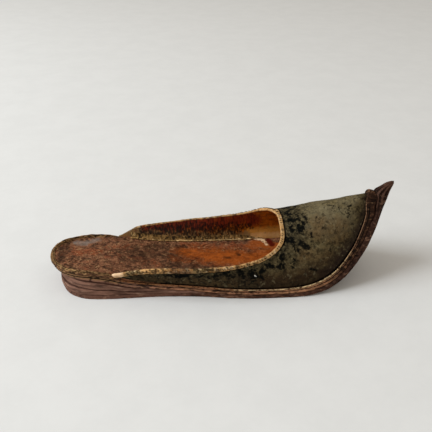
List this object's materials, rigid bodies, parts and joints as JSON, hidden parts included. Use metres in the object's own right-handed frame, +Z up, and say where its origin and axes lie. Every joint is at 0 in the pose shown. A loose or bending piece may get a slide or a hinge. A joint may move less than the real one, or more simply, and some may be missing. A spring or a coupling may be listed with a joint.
{
  "type": "pointed slipper",
  "caption": "Backless leather slipper with a long pointed toe that turns up into a beak, a hollow bound vamp and a low stacked wedge heel; fits either foot.",
  "frame": {"origin": "middle of the shoe's bounding box, on the plane it stands on", "axes": "+X along the shoe to the toe, +Y to its left, +Z up"},
  "size_m": [0.2496, 0.0704, 0.0727],
  "materials": {
    "outsole_leather": "worn, waxed edge",
    "lift_leather": "worn, stacked edge",
    "welt_leather": "worn, ridged edge",
    "rim_leather": "rolled, rubbed",
    "insole_leather": "dry, speckled with wear",
    "rand_leather": "pale tan",
    "upper_nap": "short dark green nap, worn to the ground",
    "binding_leather": "pale tan, stitched"
  },
  "bodies": {
    "root": {"outsole": "outsole_leather", "heel_lift_lower": "lift_leather", "heel_lift_upper": "lift_leather", "welt": "welt_leather", "seat_rim": "rim_leather", "insole": "insole_leather", "rand": "rand_leather", "upper": "upper_nap", "topline_binding": "binding_leather"}
  },
  "joints": []
}
